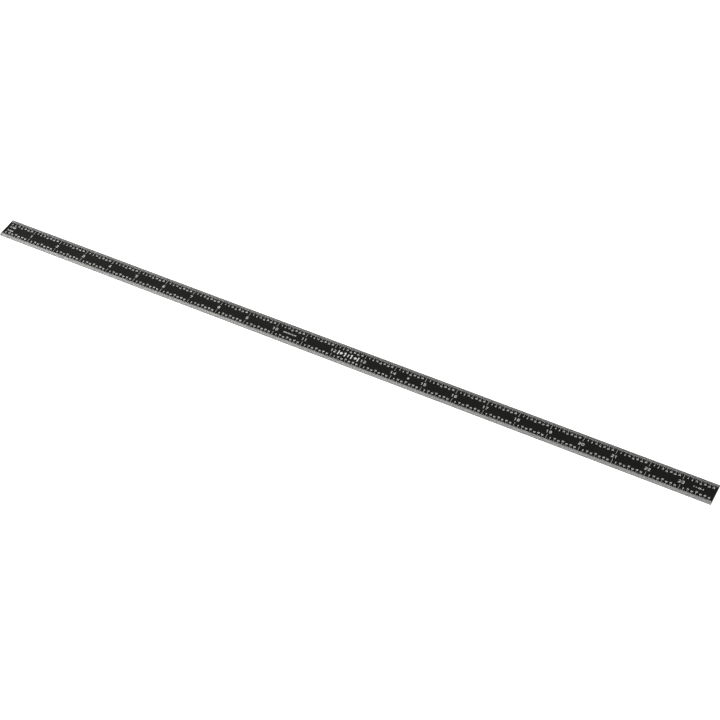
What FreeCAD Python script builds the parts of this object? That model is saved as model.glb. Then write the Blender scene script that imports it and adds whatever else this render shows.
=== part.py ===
import FreeCAD, Part
import math
import os

# Flexible steel rule, 24 in long and 3/4 in wide, graduated in inches on its front face:
# 32nds along the upper long edge, 64ths along the lower one.
# The rule is one spring-steel blade. Every line and figure is white enamel, a thin solid of its
# own that lies face to face on the black blade.
#
# Frame, in millimetres: +X runs from the zero end to the far end, +Y to the 32nds edge, and +Z
# out of the front face. The origin is at the middle of the back face.

INCH = 25.4

# Blade
BLADE_LENGTH = 24 * INCH
BLADE_WIDTH = 0.75 * INCH
BLADE_THICKNESS = 0.5
CORNER_RADIUS = 0.2         # the four corners are only just broken

# Enamel
ENAMEL_HEIGHT = 0.03
LINE_WIDTH = 0.18

# Length of a graduation line, by the smallest fraction of an inch that it marks.
# An inch line has no entry: it runs in until it is INCH_LINE_GAP short of the inch figures.
UPPER_LINES = {2: 4.06, 4: 3.68, 8: 3.18, 16: 2.79, 32: 2.29}
LOWER_LINES = {2: 4.88, 4: 4.45, 8: 3.94, 16: 3.43, 32: 2.99, 64: 2.62}
INCH_LINE_GAP = 1.4

# Figures, one at each eighth of an inch, that count the finest divisions of their edge
FRACTION_STEP = 8
FRACTION_HEIGHT = 1.27
FRACTION_STROKE = 0.24
FRACTION_SHAPE = 0.52       # width of a digit over its height
FRACTION_SPACE = 0.23       # between two digits
FRACTION_GAP = 0.47         # from the end of the line to its figure

# Inch figures, astride the rule's long centre line
INCH_HEIGHT = 2.54
INCH_STROKE = 0.34
INCH_SHAPE = 0.7
INCH_SPACE = 0.7
INCH_LIFT = 0.3             # the row stands this far above the centre line

# Small plain signs between the inch figures
SIGN_STROKE = 0.2           # stroke width over the height of the sign's figures
SIGN_SHAPE = 0.66
SIGN_SPACE = 0.27           # between two characters, over their height
SIZE_LABEL_HEIGHT = 1.2
INCH_IN_MM_HEIGHT = 1.3

# Labels that name the divisions, one under each row of fraction figures, at the zero end
DIVISION_LABEL_START = 2.8  # from the zero end
DIVISION_LABEL_CLEARANCE = 1.0  # to the row of fraction figures
DIVISION_LABEL_GAP = 1.6    # between the two labels, over a label's height

# Full-scale sign: 1:1 between two arrows that point out to upright bars
SCALE_SIGN_LENGTH = 17.5
SCALE_SIGN_CLEARANCE = 1.25     # to the rows of fraction figures above and below
SCALE_FIGURE_WIDTH = 2.6
SCALE_FIGURE_SPACE = 0.9
STOP_WIDTH = 0.8            # of an upright bar
STOP_GAP = 0.35             # from the bar to the tip of its arrow
ARROW_LENGTH = 2.9
HEAD_LENGTH = 2.1
HEAD_SPREAD = 0.72          # width of an arrow head's base over the sign's height
SHAFT_WIDTH = 0.7

# Ring
RING_DIAMETER = 1.55
RING_STROKE = 0.4


# Flat shapes in the XY plane

def polygon(*corners):
    """A flat face with straight sides, facing +Z whichever way round its corners are given."""
    turns = zip(corners, corners[1:] + corners[:1])
    twice_area = sum(x0 * y1 - x1 * y0 for (x0, y0), (x1, y1) in turns)
    points = [FreeCAD.Vector(x, y, 0) for x, y in corners[::1 if twice_area > 0 else -1]]
    return Part.Face(Part.makePolygon(points + points[:1]))


def bar(x0, y0, x1, y1):
    return polygon((x0, y0), (x1, y0), (x1, y1), (x0, y1))


LOOP_ROUNDNESS = 0.96       # corner radius over half the short side of a loop's box
LEAST_INNER_ROUND = 0.2     # over the stroke, where the stroke fills the corner


def rounded(x0, y0, x1, y1, radius):
    """A rectangle with its corners rounded by quarter circles."""
    corners = [(x1 - radius, y1 - radius), (x0 + radius, y1 - radius),
               (x0 + radius, y0 + radius), (x1 - radius, y0 + radius)]
    arcs = []
    for quarter, (x, y) in enumerate(corners):
        start = quarter * math.pi / 2
        points = [FreeCAD.Vector(x + radius * math.cos(start + turn * math.pi / 4),
                                 y + radius * math.sin(start + turn * math.pi / 4), 0)
                  for turn in range(3)]
        arcs.append(Part.Arc(*points).toShape())
    edges = []
    for arc, following in zip(arcs, arcs[1:] + arcs[:1]):
        edges.append(arc)
        edges.append(Part.makeLine(arc.lastVertex().Point, following.firstVertex().Point))
    return Part.Face(Part.Wire(edges))


def loop(x0, y0, x1, y1, stroke):
    """A closed stroke that runs just inside a box, nearly as round as the box allows."""
    radius = LOOP_ROUNDNESS * min(x1 - x0, y1 - y0) / 2
    inner_radius = max(radius - stroke, LEAST_INNER_ROUND * stroke)
    inside = rounded(x0 + stroke, y0 + stroke, x1 - stroke, y1 - stroke, inner_radius)
    return rounded(x0, y0, x1, y1, radius).cut(inside)


def joined(*shapes):
    """One face out of flat shapes that overlap."""
    first, *others = [face for shape in shapes for face in shape.Faces]
    return first.multiFuse(others).removeSplitter()


def turned(face, width):
    """The same glyph upside down, in the same box."""
    return face.rotated(FreeCAD.Vector(width / 2, 0.5, 0), FreeCAD.Vector(0, 0, 1), 180)


# Glyphs: each is drawn in a box of width w and height 1, with strokes s wide.
# The bare numbers in them are shares of that height or of w.

def zero(w, s):
    return loop(0, 0, w, 1, s)


def one(w, s):
    left = (w - s) / 2
    tip = 0.1 * w
    flag = polygon((w / 2, 1), (left, 1), (tip, 0.7 + s), (tip, 0.7), (left, 0.8), (w / 2, 0.8))
    return joined(bar(left, 0, left + s, 1), flag)


def two(w, s):
    bowl = loop(0, 0.4, w, 1, s).cut(bar(-1, 0, w - s, 0.7)).cut(bar(-1, 0, 2, 0.66))
    slope = polygon((w, 0.7), (w, 0.58), (1.25 * s, s / 2), (0, s / 2), (0, 1.15 * s),
                    (w - s, 0.64), (w - s, 0.7))
    return joined(bowl, slope, bar(0, 0, w, s))


def three(w, s):
    gap = bar(-1, 0.3, 0.45 * w, 0.72)
    return eight(w, s).cut(gap)


def four(w, s):
    post = w - 1.35 * s
    shelf = 0.2
    slope = (1 - shelf - s) / post
    brace = polygon((0, shelf + s / 2), (0, shelf + s), (post, 1), (post + s / 2, 1),
                    (post + s / 2, 1 - slope * s / 2), (s, shelf + s), (s, shelf + s / 2))
    return joined(bar(post, 0, post + s, 1), bar(0, shelf, w, shelf + s), brace)


def five(w, s):
    shoulder = 0.62
    bowl = loop(0, 0, w, shoulder, s).cut(bar(-1, 0.22, 0.45 * w, shoulder - s))
    return joined(bowl, bar(0, shoulder - s, s, 1), bar(0, 1 - s, 0.95 * w, 1))


def six(w, s):
    bowl = 0.6
    hook = loop(0, 0, w, 1, s).cut(bar(w / 2, bowl / 2, 2, 0.74))
    return joined(hook, loop(0, 0, w, bowl, s))


def seven(w, s):
    foot = 0.2 * w
    leg = polygon((w, 1 - s / 2), (w, 1 - s), (foot + 1.1 * s, 0), (foot, 0),
                  (w - 1.1 * s, 1 - s), (w - 1.1 * s, 1 - s / 2))
    return joined(bar(0, 1 - s, w, 1), leg)


def eight(w, s):
    waist = 0.45
    return joined(loop(0, 0, w, waist + s, s), loop(0, waist + 0.01, w, 1, s))


def nine(w, s):
    return turned(six(w, s), w)


def slash(w, s):
    return polygon((0, 0), (1.1 * s, 0), (w, 1), (w - 1.1 * s, 1))


def cross(w, s):
    low = 0.5 - w / 2
    high = low + w
    tip = 0.7 * s
    rising = polygon((0, low), (tip, low), (w, high - tip), (w, high), (w - tip, high), (0, low + tip))
    return joined(rising, rising.rotated(FreeCAD.Vector(w / 2, 0.5, 0), FreeCAD.Vector(0, 0, 1), 90))


def equals(w, s):
    return [bar(0, 0.3 - s / 2, w, 0.3 + s / 2), bar(0, 0.7 - s / 2, w, 0.7 + s / 2)]


def point(w, s):
    return bar(0, 0, 1.2 * s, 1.2 * s)


def colon(w, s):
    return [bar(0, 0.2, 1.2 * s, 0.2 + 1.2 * s), bar(0, 0.8 - 1.2 * s, 1.2 * s, 0.8)]


def space(w, s):
    return []


GLYPHS = {"0": zero, "1": one, "2": two, "3": three, "4": four, "5": five, "6": six, "7": seven,
          "8": eight, "9": nine, "/": slash, "x": cross, "=": equals, ".": point, ":": colon,
          " ": space}
NARROW_GLYPHS = ".: "       # one dot wide, where the others take a digit's width


class Figures:
    """Plain figures of one height, shape and stroke, each glyph drawn once and then copied."""

    def __init__(self, height, stroke, shape, space):
        self.height = height
        self.stroke = stroke / height
        self.shape = shape
        self.space = space
        self.drawn = {}

    def advance(self, glyph):
        return self.height * (1.2 * self.stroke if glyph in NARROW_GLYPHS else self.shape)

    def width(self, text):
        return sum(self.advance(glyph) for glyph in text) + self.space * (len(text) - 1)

    def solids(self, glyph):
        if glyph not in self.drawn:
            faces = GLYPHS[glyph](self.shape, self.stroke)
            faces = faces if isinstance(faces, list) else [faces]
            self.drawn[glyph] = [enamel(face.scaled(self.height)) for flat in faces for face in flat.Faces]
        return self.drawn[glyph]

    def write(self, text, x, y):
        """The solids of a text whose middle is at x, y."""
        pen = x - self.width(text) / 2
        written = []
        for glyph in text:
            place = FreeCAD.Vector(pen, y - self.height / 2, 0)
            written += [solid.translated(place) for solid in self.solids(glyph)]
            pen += self.advance(glyph) + self.space
        return written


def enamel(face):
    """A flat shape laid on the front face."""
    return face.translated(FreeCAD.Vector(0, 0, BLADE_THICKNESS)).extrude(
        FreeCAD.Vector(0, 0, ENAMEL_HEIGHT))


# Places along and across the rule

ZERO_END = -BLADE_LENGTH / 2
UPPER_EDGE = BLADE_WIDTH / 2
LOWER_EDGE = -BLADE_WIDTH / 2
WHOLE_INCHES = math.floor(BLADE_LENGTH / INCH + 1e-6)
MIDDLE_INCH = round(BLADE_LENGTH / INCH / 2)


def along(inches):
    return ZERO_END + inches * INCH


def half_way(inch):
    """Half an inch past an inch line."""
    return along(inch + 0.5)


def row_reach(lines, division):
    """How far from its edge a row of fraction figures reaches at a division."""
    return lines[division] + FRACTION_GAP + FRACTION_HEIGHT


def fits_on_rule(x, width):
    return x - width / 2 > ZERO_END and x + width / 2 < -ZERO_END


def smallest_fraction(count, finest):
    """32 for 3/32, 8 for 4/32, 1 for 32/32."""
    return finest // math.gcd(count, finest)


# Pieces

def blade():
    body = Part.makeBox(BLADE_LENGTH, BLADE_WIDTH, BLADE_THICKNESS,
                        FreeCAD.Vector(ZERO_END, LOWER_EDGE, 0))
    upright = [edge for edge in body.Edges if abs(edge.tangentAt(edge.FirstParameter).z) > 0.5]
    return [body.makeFillet(CORNER_RADIUS, upright)]


def graduations(lines, edge, inward, inch_line):
    """The lines of one edge: inward is the direction in Y from that edge to the rule's middle."""
    finest = max(lines)
    marks = []
    for count in range(1, math.ceil(BLADE_LENGTH / INCH * finest)):
        x = along(count / finest)
        length = lines.get(smallest_fraction(count, finest), inch_line)
        if fits_on_rule(x, LINE_WIDTH):
            marks.append(enamel(bar(x - LINE_WIDTH / 2, edge, x + LINE_WIDTH / 2, edge + inward * length)))
    return marks


def fraction_figures(lines, edge, inward):
    """A figure at the end of each eighth's line: how many of the finest divisions it stands at."""
    finest = max(lines)
    figures = Figures(FRACTION_HEIGHT, FRACTION_STROKE, FRACTION_SHAPE, FRACTION_SPACE)
    marks = []
    for eighth in range(1, math.ceil(BLADE_LENGTH / INCH) * FRACTION_STEP):
        inch, part = divmod(eighth, FRACTION_STEP)
        x = along(inch + part / FRACTION_STEP)
        text = str(part * finest // FRACTION_STEP)
        if part and fits_on_rule(x, figures.width(text)):
            reach = row_reach(lines, smallest_fraction(part, FRACTION_STEP))
            marks += figures.write(text, x, edge + inward * (reach - FRACTION_HEIGHT / 2))
    return marks


def inch_figures():
    figures = Figures(INCH_HEIGHT, INCH_STROKE, INCH_SHAPE, INCH_SPACE)
    marks = []
    for inch in range(1, WHOLE_INCHES + 1):
        if fits_on_rule(along(inch), figures.width(str(inch))):
            marks += figures.write(str(inch), along(inch), INCH_LIFT)
    return marks


# The band between the two rows of fraction figures
BAND_TOP = UPPER_EDGE - row_reach(UPPER_LINES, 2)
BAND_FOOT = LOWER_EDGE + row_reach(LOWER_LINES, 2)
BAND_MIDDLE = (BAND_TOP + BAND_FOOT) / 2


def sign_figures(height):
    return Figures(height, SIGN_STROKE * height, SIGN_SHAPE, SIGN_SPACE * height)


def size_label():
    """The rule's length and width in millimetres."""
    text = f"{BLADE_LENGTH:.5g}x{BLADE_WIDTH:.5g}"
    return sign_figures(SIZE_LABEL_HEIGHT).write(text, half_way(MIDDLE_INCH - 2), BAND_MIDDLE)


def inch_in_mm_label():
    """One inch is 25.4 mm."""
    text = f"1 = {INCH:g}"
    return sign_figures(INCH_IN_MM_HEIGHT).write(text, half_way(WHOLE_INCHES - 1), BAND_MIDDLE)


def division_labels():
    """1/32 under the upper edge and 1/64 over the lower one, sharing the room that they have."""
    top = UPPER_EDGE - row_reach(UPPER_LINES, 4) - DIVISION_LABEL_CLEARANCE
    foot = LOWER_EDGE + row_reach(LOWER_LINES, 4) + DIVISION_LABEL_CLEARANCE
    height = (top - foot) / (2 + DIVISION_LABEL_GAP)
    figures = sign_figures(height)
    marks = []
    labels = {f"1/{max(UPPER_LINES)}": top - height / 2, f"1/{max(LOWER_LINES)}": foot + height / 2}
    for text, y in labels.items():
        x = ZERO_END + DIVISION_LABEL_START + figures.width(text) / 2
        marks += figures.write(text, x, y)
    return marks


def full_scale_sign():
    """1:1 between two arrows that point out to upright bars."""
    height = BAND_TOP - BAND_FOOT - 2 * SCALE_SIGN_CLEARANCE
    centre = FreeCAD.Vector(half_way(MIDDLE_INCH), BAND_MIDDLE, 0)
    figures = Figures(height, SIGN_STROKE * height, SCALE_FIGURE_WIDTH / height, SCALE_FIGURE_SPACE)
    marks = figures.write("1:1", centre.x, centre.y)
    end = SCALE_SIGN_LENGTH / 2
    tip = end - STOP_WIDTH - STOP_GAP
    base = tip - HEAD_LENGTH
    tail = tip - ARROW_LENGTH
    spread = HEAD_SPREAD * height / 2
    half = SHAFT_WIDTH / 2
    for side in (-1, 1):
        head = polygon((tip * side, 0), (base * side, spread), (base * side, -spread))
        shaft = bar(tail * side, -half, (base + half) * side, half)
        stop = bar((end - STOP_WIDTH) * side, -height / 2, end * side, height / 2)
        for shape in (joined(head, shaft), stop):
            marks.append(enamel(shape.Faces[0].translated(centre)))
    return marks


def ring():
    outer = Part.Face(Part.Wire(Part.makeCircle(RING_DIAMETER / 2)))
    inner = Part.Face(Part.Wire(Part.makeCircle(RING_DIAMETER / 2 - RING_STROKE)))
    band = outer.cut(inner).Faces[0]
    return [enamel(band.translated(FreeCAD.Vector(half_way(MIDDLE_INCH + 2), BAND_MIDDLE, 0)))]


UPPER_INCH_LINE = UPPER_EDGE - INCH_LIFT - INCH_HEIGHT / 2 - INCH_LINE_GAP
LOWER_INCH_LINE = INCH_LIFT - INCH_HEIGHT / 2 - INCH_LINE_GAP - LOWER_EDGE

NODES = {
    "spring_steel_blade": blade(),
    "upper_edge_32nds_lines": graduations(UPPER_LINES, UPPER_EDGE, -1, UPPER_INCH_LINE),
    "upper_edge_32nds_figures": fraction_figures(UPPER_LINES, UPPER_EDGE, -1),
    "lower_edge_64ths_lines": graduations(LOWER_LINES, LOWER_EDGE, 1, LOWER_INCH_LINE),
    "lower_edge_64ths_figures": fraction_figures(LOWER_LINES, LOWER_EDGE, 1),
    "inch_figures": inch_figures(),
    "division_labels": division_labels(),
    "size_label": size_label(),
    "full_scale_sign": full_scale_sign(),
    "plain_ring": ring(),
    "inch_in_mm_label": inch_in_mm_label(),
}

os.makedirs("parts", exist_ok=True)
for name, solids in NODES.items():
    shape = solids[0] if len(solids) == 1 else Part.makeCompound(solids)
    shape.exportStep(f"parts/{name}.step")
    print(name, len(solids), "solids", round(shape.Volume, 4), "mm3")
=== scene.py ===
# Flexible steel rule, 24 in long: satin black spring steel with white enamel lines and figures
import bpy
import bmesh
import math
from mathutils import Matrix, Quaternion, Vector


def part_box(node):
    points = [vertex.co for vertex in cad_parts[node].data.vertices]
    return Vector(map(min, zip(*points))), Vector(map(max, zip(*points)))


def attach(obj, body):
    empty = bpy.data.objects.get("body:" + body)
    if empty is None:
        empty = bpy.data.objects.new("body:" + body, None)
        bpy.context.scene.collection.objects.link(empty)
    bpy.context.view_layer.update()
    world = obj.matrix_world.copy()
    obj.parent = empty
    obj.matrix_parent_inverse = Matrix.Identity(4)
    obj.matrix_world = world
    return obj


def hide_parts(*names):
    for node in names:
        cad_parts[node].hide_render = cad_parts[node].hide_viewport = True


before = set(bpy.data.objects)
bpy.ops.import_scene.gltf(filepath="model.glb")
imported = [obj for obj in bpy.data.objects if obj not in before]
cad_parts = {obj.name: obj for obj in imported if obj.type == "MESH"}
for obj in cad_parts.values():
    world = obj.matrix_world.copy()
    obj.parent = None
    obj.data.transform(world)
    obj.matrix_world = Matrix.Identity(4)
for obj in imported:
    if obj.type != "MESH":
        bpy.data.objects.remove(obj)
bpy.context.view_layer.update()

mm = 0.001
inch = 25.4 * mm

bladeLow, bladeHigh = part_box("spring_steel_blade")
faceHeight = bladeHigh.z
bladeLength = bladeHigh.x - bladeLow.x
bladeWidth = bladeHigh.y - bladeLow.y
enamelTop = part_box("upper_edge_32nds_lines")[1].z


# Helpers

def linear(hexColour):
    channels = [int(hexColour[i:i + 2], 16) / 255 for i in (1, 3, 5)]
    return [c / 12.92 if c <= 0.04045 else ((c + 0.055) / 1.055) ** 2.4 for c in channels] + [1.0]


def addNode(tree, kind, settings=None, links=None):
    # settings: attribute or input values; links: the input's name or number and the socket that feeds it
    node = tree.nodes.new(kind)
    for name, value in (settings or {}).items():
        if isinstance(name, str) and hasattr(node, name):
            setattr(node, name, value)
        else:
            node.inputs[name].default_value = value
    for name, source in (links or {}).items():
        tree.links.new(source, node.inputs[name])
    return node


def newMaterial(name):
    material = bpy.data.materials.new(name)
    material.use_nodes = True
    material.node_tree.nodes.clear()
    return material, material.node_tree


def newPiece(name, mesh):
    piece = bpy.data.objects.new(name, mesh)
    bpy.context.scene.collection.objects.link(piece)
    return piece


def applyModifiers(piece):
    # the modifiers' result becomes the piece's own plain mesh
    shown = piece.evaluated_get(bpy.context.evaluated_depsgraph_get())
    mesh = bpy.data.meshes.new_from_object(shown)
    piece.modifiers.clear()
    piece.data = mesh
    return piece


def seat(piece, material, node):
    # finish, slot and CAD body of a piece that stands for a node
    piece.data.materials.clear()
    piece.data.materials.append(material)
    piece.data.polygons.foreach_set("material_index", [0] * len(piece.data.polygons))
    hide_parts(node)
    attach(piece, "root")
    return piece


# Materials

blackSteel = {
    "face": "#1b1b1a",          # black chrome over ground steel: near black, with a satin sheen
    "worn": "#4a4946",          # where handling has polished the arris
    "roughness": (0.36, 0.49),  # from the smoothest patch to the dullest
    "grainAcross": 0.09 * mm,   # spacing of the grinding lines, coarser than real so that they show
    "grainAlong": 16 * mm,
    "grainContrast": 0.35,      # share by which a grinding line is darker or lighter
    "grainDepth": 0.008 * mm,
    "grainBump": 0.5,
    "noiseSpan": (0.35, 0.65),  # the noise values that stand for its lowest and its highest
    "cloud": 24 * mm,           # faint patches left by handling
    "wearWidth": 0.12 * mm,
    "wearAlong": 4 * mm,
    "wearAcross": 0.3 * mm,
}


def satinBlackSteel(make):
    # ground spring steel under black chrome: dark, its soft highlights drawn out across the grain
    material, tree = newMaterial("satinBlackSteel")
    place = addNode(tree, "ShaderNodeTexCoord").outputs["Object"]
    grainScale = (1 / make["grainAlong"], 1 / make["grainAcross"], 1 / make["grainAcross"])
    grainPlace = addNode(tree, "ShaderNodeMapping", {"Scale": grainScale}, {"Vector": place})
    grain = addNode(tree, "ShaderNodeTexNoise", {"Scale": 1.0, "Detail": 4.0, "Roughness": 0.65},
                    {"Vector": grainPlace.outputs[0]})
    cloud = addNode(tree, "ShaderNodeTexNoise",
                    {"Scale": 1 / make["cloud"], "Detail": 5.0, "Roughness": 0.6}, {"Vector": place})
    wearScale = (1 / make["wearAlong"], 1 / make["wearAcross"], 1 / make["wearAcross"])
    wearPlace = addNode(tree, "ShaderNodeMapping", {"Scale": wearScale}, {"Vector": place})
    wearNoise = addNode(tree, "ShaderNodeTexNoise", {"Scale": 1.0, "Detail": 5.0},
                        {"Vector": wearPlace.outputs[0]})
    axes = addNode(tree, "ShaderNodeSeparateXYZ", links={0: place}).outputs
    rim = []
    for axis, half in (("X", bladeLength / 2), ("Y", bladeWidth / 2)):
        distance = addNode(tree, "ShaderNodeMath", {"operation": "ABSOLUTE"}, {0: axes[axis]})
        near = addNode(tree, "ShaderNodeMapRange", {"From Min": half - make["wearWidth"], "From Max": half},
                       {"Value": distance.outputs[0]})
        rim.append(near.outputs[0])
    edge = addNode(tree, "ShaderNodeMath", {"operation": "MAXIMUM"}, {0: rim[0], 1: rim[1]})
    wear = addNode(tree, "ShaderNodeMath", {"operation": "MULTIPLY"},
                   {0: edge.outputs[0], 1: wearNoise.outputs["Fac"]})
    lowest, highest = make["noiseSpan"]
    shade = addNode(tree, "ShaderNodeMapRange",
                    {"From Min": lowest, "From Max": highest, "To Min": 1 - make["grainContrast"],
                     "To Max": 1 + make["grainContrast"]}, {"Value": grain.outputs["Fac"]})
    face = addNode(tree, "ShaderNodeMix",
                   {"data_type": "RGBA", "blend_type": "MULTIPLY", 0: 1.0, 6: linear(make["face"])},
                   {7: shade.outputs[0]})
    colour = addNode(tree, "ShaderNodeMix", {"data_type": "RGBA", 7: linear(make["worn"])},
                     {0: wear.outputs[0], 6: face.outputs[2]})
    rough = addNode(tree, "ShaderNodeMapRange",
                    {"From Min": lowest, "From Max": highest, "To Min": make["roughness"][0],
                     "To Max": make["roughness"][1]}, {"Value": cloud.outputs["Fac"]})
    bump = addNode(tree, "ShaderNodeBump", {"Strength": make["grainBump"], "Distance": make["grainDepth"]},
                   {"Height": grain.outputs["Fac"]})
    shader = addNode(tree, "ShaderNodeBsdfPrincipled", {"Metallic": 1.0},
                     {"Base Color": colour.outputs[2], "Roughness": rough.outputs[0],
                      "Normal": bump.outputs[0]})
    addNode(tree, "ShaderNodeOutputMaterial", links={"Surface": shader.outputs[0]})
    return material


enamel = {
    "colour": "#eeedea",        # a nearly neutral white
    "thin": "#cdccc8",          # where the fill is thin and the black shows through
    "roughness": 0.5,
    "ior": 1.5,
    "patch": 1.6 * mm,
    "thinSpan": (0.55, 0.8),    # the patch noise from full to thin
    "orangePeel": 0.12 * mm,    # spacing and depth of the faint ripple of a baked coat
    "peelDepth": 0.003 * mm,
    "peelBump": 0.3,
}


def whiteEnamel(make):
    # baked enamel wiped into the etched marks: matte, a little uneven in thickness
    material, tree = newMaterial("whiteEnamel")
    place = addNode(tree, "ShaderNodeTexCoord").outputs["Object"]
    patch = addNode(tree, "ShaderNodeTexNoise",
                    {"Scale": 1 / make["patch"], "Detail": 4.0, "Roughness": 0.6}, {"Vector": place})
    full, thinnest = make["thinSpan"]
    thin = addNode(tree, "ShaderNodeMapRange", {"From Min": full, "From Max": thinnest},
                   {"Value": patch.outputs["Fac"]})
    colour = addNode(tree, "ShaderNodeMix",
                     {"data_type": "RGBA", 6: linear(make["colour"]), 7: linear(make["thin"])},
                     {0: thin.outputs[0]})
    peel = addNode(tree, "ShaderNodeTexNoise", {"Scale": 1 / make["orangePeel"], "Detail": 2.0},
                   {"Vector": place})
    bump = addNode(tree, "ShaderNodeBump", {"Strength": make["peelBump"], "Distance": make["peelDepth"]},
                   {"Height": peel.outputs["Fac"]})
    shader = addNode(tree, "ShaderNodeBsdfPrincipled", {"Roughness": make["roughness"], "IOR": make["ior"]},
                     {"Base Color": colour.outputs[2], "Normal": bump.outputs[0]})
    addNode(tree, "ShaderNodeOutputMaterial", links={"Surface": shader.outputs[0]})
    return material


steelFinish = satinBlackSteel(blackSteel)
enamelFinish = whiteEnamel(enamel)
print("materials made")


# Blade

blade = {
    "cornerRadius": 0.2 * mm,
    "cornerSteps": 4,
    "arris": 0.05 * mm,         # the edges are only just softened
    "arrisSteps": 3,
    "arrisAngle": math.radians(60),
    "stations": 48,             # cross-sections along the length, which keep its faces short
}


def makeBlade(make):
    bm = bmesh.new()
    halfWidth = bladeWidth / 2
    radius = make["cornerRadius"]
    outline = []
    for quarter, (x, y) in enumerate([(bladeHigh.x, halfWidth), (bladeLow.x, halfWidth),
                                      (bladeLow.x, -halfWidth), (bladeHigh.x, -halfWidth)]):
        centre = Vector((x - math.copysign(radius, x), y - math.copysign(radius, y), 0))
        for step in range(make["cornerSteps"] + 1):
            turn = (quarter + step / make["cornerSteps"]) * math.pi / 2
            outline.append(centre + Vector((math.cos(turn), math.sin(turn), 0)) * radius)
    foot = [bm.verts.new((p.x, p.y, bladeLow.z)) for p in outline]
    base = bm.faces.new(foot)
    raised = bmesh.ops.extrude_face_region(bm, geom=[base])
    upper = [v for v in raised["geom"] if isinstance(v, bmesh.types.BMVert)]
    bmesh.ops.translate(bm, verts=upper, vec=(0, 0, bladeHigh.z - bladeLow.z))
    for station in range(1, make["stations"]):
        x = bladeLow.x + bladeLength * station / make["stations"]
        everything = bm.verts[:] + bm.edges[:] + bm.faces[:]
        bmesh.ops.bisect_plane(bm, geom=everything, plane_co=(x, 0, 0), plane_no=(1, 0, 0))
    bmesh.ops.recalc_face_normals(bm, faces=bm.faces)
    mesh = bpy.data.meshes.new("blade")
    bm.to_mesh(mesh)
    bm.free()
    mesh.shade_smooth()
    piece = newPiece("blade", mesh)
    softened = piece.modifiers.new("softenedArris", "BEVEL")
    softened.width = make["arris"]
    softened.segments = make["arrisSteps"]
    softened.limit_method = "ANGLE"
    softened.angle_limit = make["arrisAngle"]
    softened.harden_normals = True
    piece = applyModifiers(piece)
    return seat(piece, steelFinish, "spring_steel_blade")


makeBlade(blade)
print("blade made")


# Graduation lines

upperLines = {
    "node": "upper_edge_32nds_lines",
    "fractions": (32, 16, 8, 4, 2, 1),  # of an inch, the finest first: each has a longer line
    "edge": bladeHigh.y,
    "turn": math.pi,            # its lines run down from the upper edge
}
lowerLines = {
    "node": "lower_edge_64ths_lines",
    "fractions": (64, 32, 16, 8, 4, 2, 1),
    "edge": bladeLow.y,
    "turn": 0.0,
}
lineShape = {
    "rim": 0.012 * mm,          # the enamel's edge rolls off by this much
    "shoulder": 0.3,            # share of the rim where its slope changes
    "usualLength": 3 * mm,      # of the line on whose ends the rim is as wide as on its sides
}


def lineCorners(make, fraction):
    # the CAD corners of the first line that marks this fraction of an inch
    x = bladeLow.x + inch / fraction
    reach = inch / make["fractions"][0] / 2
    return [v.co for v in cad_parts[make["node"]].data.vertices if abs(v.co.x - x) < reach]


def lineLength(make, fraction):
    return max(abs(corner.y - make["edge"]) for corner in lineCorners(make, fraction))


def lineWidth(make):
    across = [corner.x for corner in lineCorners(make, make["fractions"][0])]
    return max(across) - min(across)


def enamelLine(name, width, make):
    # one line a unit long, running +Y from its edge
    bm = bmesh.new()
    rim = make["rim"]
    shoulder = rim * make["shoulder"]
    height = enamelTop - faceHeight
    rings = []
    for z, inset in ((0, 0), (height - rim, 0), (height - shoulder, shoulder), (height, rim)):
        half = width / 2 - inset
        end = inset / make["usualLength"]
        corners = ((-half, end, z), (half, end, z), (half, 1 - end, z), (-half, 1 - end, z))
        rings.append([bm.verts.new(corner) for corner in corners])
    for low, high in zip(rings, rings[1:]):
        for side in range(4):
            following = (side + 1) % 4
            bm.faces.new((low[side], low[following], high[following], high[side]))
    bm.faces.new(rings[0][::-1])
    bm.faces.new(rings[-1])
    mesh = bpy.data.meshes.new(name)
    bm.to_mesh(mesh)
    bm.free()
    return newPiece(name, mesh)


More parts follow.
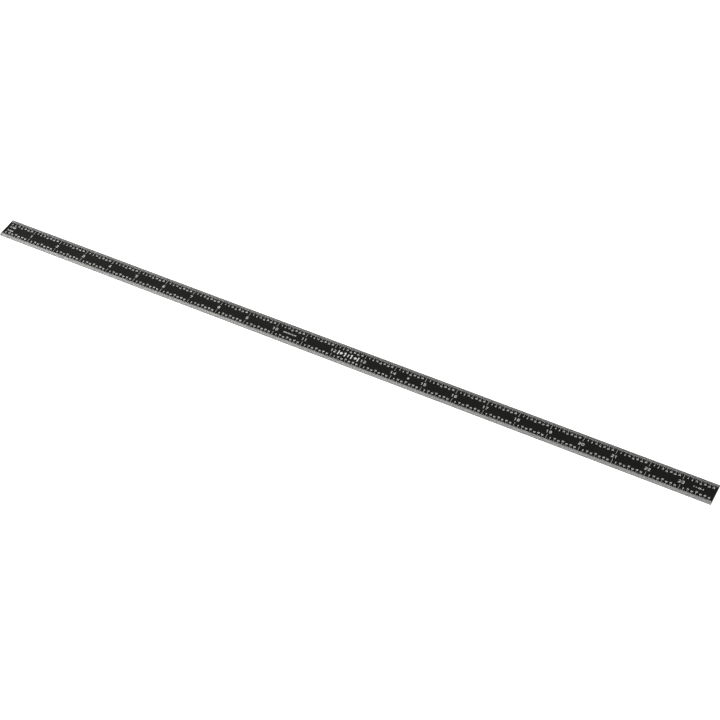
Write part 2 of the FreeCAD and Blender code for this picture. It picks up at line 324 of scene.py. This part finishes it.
def graduationTree(fractions):
    # lines at equal steps, each as long as the coarsest fraction that it marks
    tree = bpy.data.node_groups.new("graduation", "GeometryNodeTree")
    sockets = {"Line": "Object", "Zero": "Vector", "Inch": "Float", "Count": "Int", "Turn": "Vector",
               "Finish": "Material"}
    sockets.update({f"1/{fraction} Line": "Float" for fraction in fractions})
    for way in ("INPUT", "OUTPUT"):
        tree.interface.new_socket("Geometry", in_out=way, socket_type="NodeSocketGeometry")
    for name, kind in sockets.items():
        tree.interface.new_socket(name, in_out="INPUT", socket_type="NodeSocket" + kind)
    given = addNode(tree, "NodeGroupInput").outputs
    finest = fractions[0]
    step = addNode(tree, "ShaderNodeMath", {"operation": "DIVIDE", 1: finest}, {0: given["Inch"]})
    offset = addNode(tree, "ShaderNodeCombineXYZ", links={"X": step.outputs[0]})
    first = addNode(tree, "ShaderNodeVectorMath", {"operation": "ADD"},
                    {0: given["Zero"], 1: offset.outputs[0]})
    places = addNode(tree, "GeometryNodeMeshLine", {"mode": "OFFSET"},
                     {"Count": given["Count"], "Start Location": first.outputs[0],
                      "Offset": offset.outputs[0]})
    index = addNode(tree, "GeometryNodeInputIndex")
    number = addNode(tree, "ShaderNodeMath", {"operation": "ADD", 1: 1.0}, {0: index.outputs[0]})
    length = given[f"1/{finest} Line"]
    for fraction in fractions[1:]:
        past = addNode(tree, "ShaderNodeMath", {"operation": "MODULO", 1: finest / fraction},
                       {0: number.outputs[0]})  # 0 on the lines that mark this fraction
        marked = addNode(tree, "ShaderNodeMath", {"operation": "LESS_THAN", 1: 0.5}, {0: past.outputs[0]})
        length = addNode(tree, "ShaderNodeMix", {"data_type": "FLOAT"},
                         {0: marked.outputs[0], 2: length, 3: given[f"1/{fraction} Line"]}).outputs[0]
    stretch = addNode(tree, "ShaderNodeCombineXYZ", {"X": 1.0, "Z": 1.0}, {"Y": length})
    line = addNode(tree, "GeometryNodeObjectInfo", links={"Object": given["Line"]})
    lines = addNode(tree, "GeometryNodeInstanceOnPoints",
                    links={"Points": places.outputs[0], "Instance": line.outputs["Geometry"],
                           "Rotation": given["Turn"], "Scale": stretch.outputs[0]})
    real = addNode(tree, "GeometryNodeRealizeInstances", links={0: lines.outputs[0]})
    finished = addNode(tree, "GeometryNodeSetMaterial",
                       links={"Geometry": real.outputs[0], "Material": given["Finish"]})
    addNode(tree, "NodeGroupOutput", links={0: finished.outputs[0]})
    return tree


def makeLines(name, make):
    line = enamelLine(name + "Line", lineWidth(make), lineShape)
    values = {
        "Line": line,
        "Zero": (bladeLow.x, make["edge"], faceHeight),
        "Inch": inch,
        "Count": round(bladeLength / inch) * make["fractions"][0] - 1,
        "Turn": (0, 0, make["turn"]),
        "Finish": enamelFinish,
    }
    values.update({f"1/{fraction} Line": lineLength(make, fraction) for fraction in make["fractions"]})
    piece = newPiece(name, bpy.data.meshes.new(name))
    modifier = piece.modifiers.new("graduation", "NODES")
    modifier.node_group = graduationTree(make["fractions"])
    for socket in modifier.node_group.interface.items_tree:
        if socket.in_out == "INPUT" and socket.name in values:
            modifier[socket.identifier] = values[socket.name]
    piece = applyModifiers(piece)
    bpy.data.objects.remove(line)
    return seat(piece, enamelFinish, make["node"])


makeLines("upperGraduation", upperLines)
makeLines("lowerGraduation", lowerLines)
print("graduation lines made")


# Figures and signs

figures = {
    "rim": 0.012 * mm,
    "weld": 0.0005 * mm,
    "bend": math.radians(9),    # bends under this angle are merged, which halves an arc's steps
    "facingUp": 0.9,            # least upward part of a top face's normal
    "splitSides": 5,            # faces with this many sides or more are split
    "pieces": {
        "upper_edge_32nds_figures": "upperFigures",
        "lower_edge_64ths_figures": "lowerFigures",
        "inch_figures": "inchFigures",
        "division_labels": "divisionLabels",
        "size_label": "sizeLabel",
        "full_scale_sign": "fullScaleSign",
        "plain_ring": "plainRing",
        "inch_in_mm_label": "inchInMmLabel",
    },
}


def makeFigures(name, node, make):
    # the node's own figures, welded, with the rim of the enamel rolled off
    bm = bmesh.new()
    bm.from_mesh(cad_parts[node].data)
    bmesh.ops.remove_doubles(bm, verts=bm.verts, dist=make["weld"])
    bmesh.ops.dissolve_limit(bm, angle_limit=make["bend"], verts=bm.verts, edges=bm.edges)
    rims = [edge for edge in bm.edges if len(edge.link_faces) == 2
            and sum(face.normal.z > make["facingUp"] for face in edge.link_faces) == 1]
    bmesh.ops.bevel(bm, geom=rims, offset=make["rim"], segments=1, profile=0.5, affect="EDGES",
                    clamp_overlap=True)
    mesh = bpy.data.meshes.new(name)
    bm.to_mesh(mesh)
    bm.free()
    piece = newPiece(name, mesh)
    split = piece.modifiers.new("splitOutlines", "TRIANGULATE")
    split.min_vertices = make["splitSides"]
    split.ngon_method = "BEAUTY"
    piece = applyModifiers(piece)
    return seat(piece, enamelFinish, node)


for node, name in figures["pieces"].items():
    makeFigures(name, node, figures)
print("figures made")


# Floor, light and camera

studio = {
    "floorSize": 12.0,          # metres, each way
    "floorGap": 0.02 * mm,      # under the back face, so that the two faces don't coincide
    "floorColour": "#f2f2f2",
    "floorGlow": 0.75,          # lifts the floor to white for the camera and in reflections
    "worldColour": "#ffffff",
    "worldSeen": 1.0,           # strength for the camera and in reflections
    "worldLight": 0.3,          # strength of the light that falls on things
}


def onSeenRays(tree, seen, otherwise):
    # seen for camera, glossy and transmission rays, otherwise for the light that falls on things
    ray = addNode(tree, "ShaderNodeLightPath").outputs
    anySeen = ray["Is Camera Ray"]
    for kind in ("Is Glossy Ray", "Is Transmission Ray"):
        either = addNode(tree, "ShaderNodeMath", {"operation": "MAXIMUM"}, {0: anySeen, 1: ray[kind]})
        anySeen = either.outputs[0]
    level = addNode(tree, "ShaderNodeMapRange", {"To Min": otherwise, "To Max": seen}, {"Value": anySeen})
    return level.outputs[0]


def makeFloor(make):
    mesh = bpy.data.meshes.new("floor")
    half = make["floorSize"] / 2
    z = bladeLow.z - make["floorGap"]
    corners = [(-half, -half, z), (half, -half, z), (half, half, z), (-half, half, z)]
    mesh.from_pydata(corners, [], [(0, 1, 2, 3)])
    floor = newPiece("floor", mesh)
    material, tree = newMaterial("palePaper")
    paper = addNode(tree, "ShaderNodeBsdfDiffuse", {"Color": linear(make["floorColour"])})
    glow = addNode(tree, "ShaderNodeEmission", links={"Strength": onSeenRays(tree, make["floorGlow"], 0.0)})
    both = addNode(tree, "ShaderNodeAddShader", links={0: paper.outputs[0], 1: glow.outputs[0]})
    addNode(tree, "ShaderNodeOutputMaterial", links={"Surface": both.outputs[0]})
    mesh.materials.append(material)


def makeWorld(make):
    world = bpy.data.worlds.new("studio")
    bpy.context.scene.world = world
    world.use_nodes = True
    tree = world.node_tree
    tree.nodes.clear()
    sky = addNode(tree, "ShaderNodeBackground", {"Color": linear(make["worldColour"])},
                  {"Strength": onSeenRays(tree, make["worldSeen"], make["worldLight"])})
    addNode(tree, "ShaderNodeOutputWorld", links={"Surface": sky.outputs[0]})


lamps = {  # name: place, aim and side of the square in metres, then watts
    "keyLamp": ((-1.1, -0.15, 1.2), (-0.2, 0.0, 0.0), 1.2, 24.0),
    "fillLamp": ((1.2, -0.8, 1.4), (0.0, 0.0, 0.0), 1.6, 2.0),
}


def makeLamps(make):
    for name, (place, aim, side, watts) in make.items():
        light = bpy.data.lights.new(name, "AREA")
        light.size = side
        light.energy = watts
        lamp = bpy.data.objects.new(name, light)
        lamp.location = place
        lamp.rotation_euler = (Vector(aim) - Vector(place)).to_track_quat("-Z", "Y").to_euler()
        bpy.context.scene.collection.objects.link(lamp)


cameraView = {
    "lens": 87.5,               # millimetres
    "azimuth": 30.36,           # degrees, as are the elevation and the roll
    "elevation": 48.16,
    "roll": -2.92,
    "distance": 1.3174,         # metres, from the aim
    "aim": (0.0226, 0.0007),    # metres, on the face, from the rule's middle
}


def makeCamera(make):
    data = bpy.data.cameras.new("camera")
    data.lens = make["lens"]
    camera = bpy.data.objects.new("camera", data)
    azimuth, elevation = math.radians(make["azimuth"]), math.radians(make["elevation"])
    back = Vector((math.sin(azimuth) * math.cos(elevation), -math.cos(azimuth) * math.cos(elevation),
                   math.sin(elevation)))
    camera.location = Vector((*make["aim"], faceHeight)) + back * make["distance"]
    camera.rotation_mode = "QUATERNION"
    roll = Quaternion((0, 0, 1), math.radians(make["roll"]))
    camera.rotation_quaternion = (-back).to_track_quat("-Z", "Y") @ roll
    bpy.context.scene.collection.objects.link(camera)
    bpy.context.scene.camera = camera


makeFloor(studio)
makeWorld(studio)
makeLamps(lamps)
makeCamera(cameraView)
bpy.context.scene.view_settings.view_transform = "Standard"
print("studio made")
